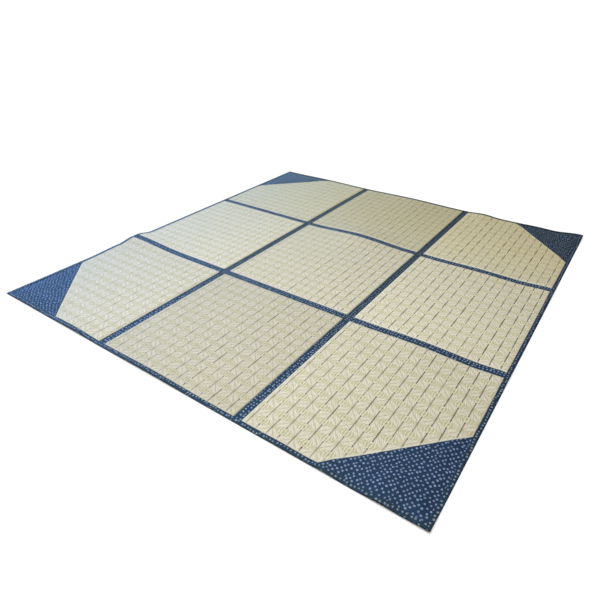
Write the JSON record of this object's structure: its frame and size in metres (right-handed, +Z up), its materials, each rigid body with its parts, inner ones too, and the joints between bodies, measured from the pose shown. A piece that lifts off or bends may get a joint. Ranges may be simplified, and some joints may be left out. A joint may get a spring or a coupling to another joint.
{
  "type": "folding tatami floor mat of woven rush",
  "caption": "Square rush floor mat in panels that fold along sewn cloth bands, with printed cloth corner patches and a narrow bound edge, lying spread out with low fold ridges.",
  "frame": {"origin": "on the floor, under the middle of the mat", "axes": "+Z up from the floor, +X along the front edge to the right, +Y from the front edge to the back edge"},
  "size_m": [2.61, 2.61, 0.0276],
  "materials": {
    "rush": "woven dried rush, pale straw with olive and cream strands, a slight sheen",
    "printed_cotton": "navy plain-weave cotton with small pale dots, matt"
  },
  "bodies": {
    "root": {"panel_front_left": "rush", "panel_front_middle": "rush", "panel_front_right": "rush", "panel_centre_left": "rush", "panel_centre_middle": "rush", "panel_centre_right": "rush", "panel_back_left": "rush", "panel_back_middle": "rush", "panel_back_right": "rush", "band_long_left": "printed_cotton", "band_long_right": "printed_cotton", "band_cross_front_left": "printed_cotton", "band_cross_front_middle": "printed_cotton", "band_cross_front_right": "printed_cotton", "band_cross_back_left": "printed_cotton", "band_cross_back_middle": "printed_cotton", "band_cross_back_right": "printed_cotton", "patch_front_left": "printed_cotton", "patch_front_right": "printed_cotton", "patch_back_left": "printed_cotton", "patch_back_right": "printed_cotton", "binding_front": "printed_cotton", "binding_right": "printed_cotton", "binding_back": "printed_cotton", "binding_left": "printed_cotton"}
  },
  "joints": []
}
